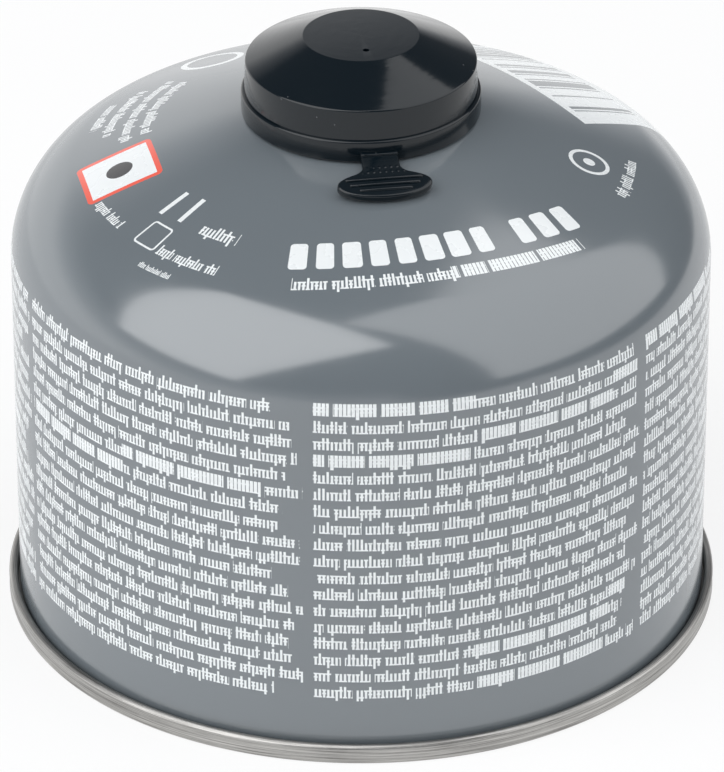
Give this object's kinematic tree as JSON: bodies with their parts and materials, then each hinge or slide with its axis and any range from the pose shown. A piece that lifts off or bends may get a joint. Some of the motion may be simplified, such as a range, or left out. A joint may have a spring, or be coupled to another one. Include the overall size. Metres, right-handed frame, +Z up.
{
  "type": "fuel canister",
  "caption": "Squat screw-on fuel canister with a domed top, a seamed bare-metal base, a threaded valve and a clip-on black cap with a pull tab.",
  "frame": {"origin": "centre of the foot, on the surface that the canister stands on", "axes": "+Z up along the can's axis, -Y towards the cap's pull tab"},
  "size_m": [0.11, 0.11, 0.0942],
  "materials": {
    "paint": "smooth semi-gloss grey enamel with pale greeked print",
    "tinplate": "bare rolled tinplate with fine streaks",
    "black_plastic": "glossy moulded black",
    "seal_rubber": "matt black",
    "valve_plastic": "natural acetal",
    "spring_steel": "drawn wire"
  },
  "bodies": {
    "can": {"can_body": "paint", "base_plate": "tinplate", "valve_cup": "tinplate", "cup_gasket": "seal_rubber", "stem_gasket": "seal_rubber", "valve_spring": "spring_steel", "valve_housing": "valve_plastic"},
    "cap": {"cap": "black_plastic"},
    "stem": {"valve_stem": "valve_plastic"}
  },
  "joints": [
    {"name": "cap_lift", "type": "slide", "parent": "can", "child": "cap", "axis": [0, 0, 1], "range_m": [0, 0.03]},
    {"name": "stem_press", "type": "slide", "parent": "can", "child": "stem", "axis": [0, 0, -1], "range_m": [0, 0.0015], "stiffness_N_per_m": 1500, "springref_m": -0.002, "deforming": ["valve_spring"]}
  ]
}
